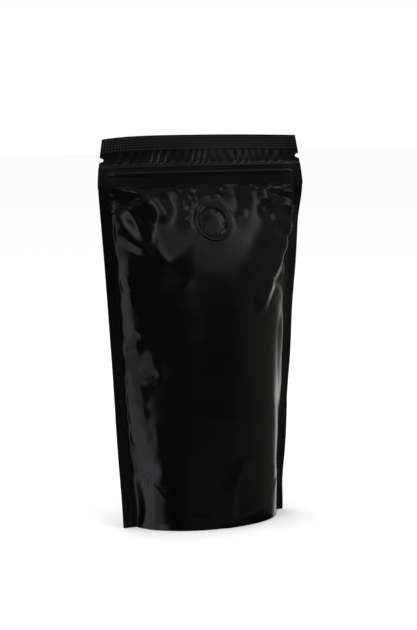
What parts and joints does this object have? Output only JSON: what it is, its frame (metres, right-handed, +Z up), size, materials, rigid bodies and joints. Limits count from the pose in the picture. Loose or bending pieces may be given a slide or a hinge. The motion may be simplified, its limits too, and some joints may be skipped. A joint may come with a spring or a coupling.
{
  "type": "coffee bag",
  "caption": "Filled stand-up film pouch of coffee with a press-to-close strip, tear notches and a round one-way valve.",
  "frame": {"origin": "centre of the footprint, on the ground", "axes": "+Z up along the bag, +X to the right as seen from the front, the front panel with the valve faces -Y"},
  "size_m": [0.13, 0.06, 0.2152],
  "materials": {
    "film": "matte black laminated film with soft highlights",
    "valve_plastic": "matte black film pressed over the valve"
  },
  "bodies": {
    "root": {"pouch": "film", "valve": "valve_plastic"}
  },
  "joints": []
}
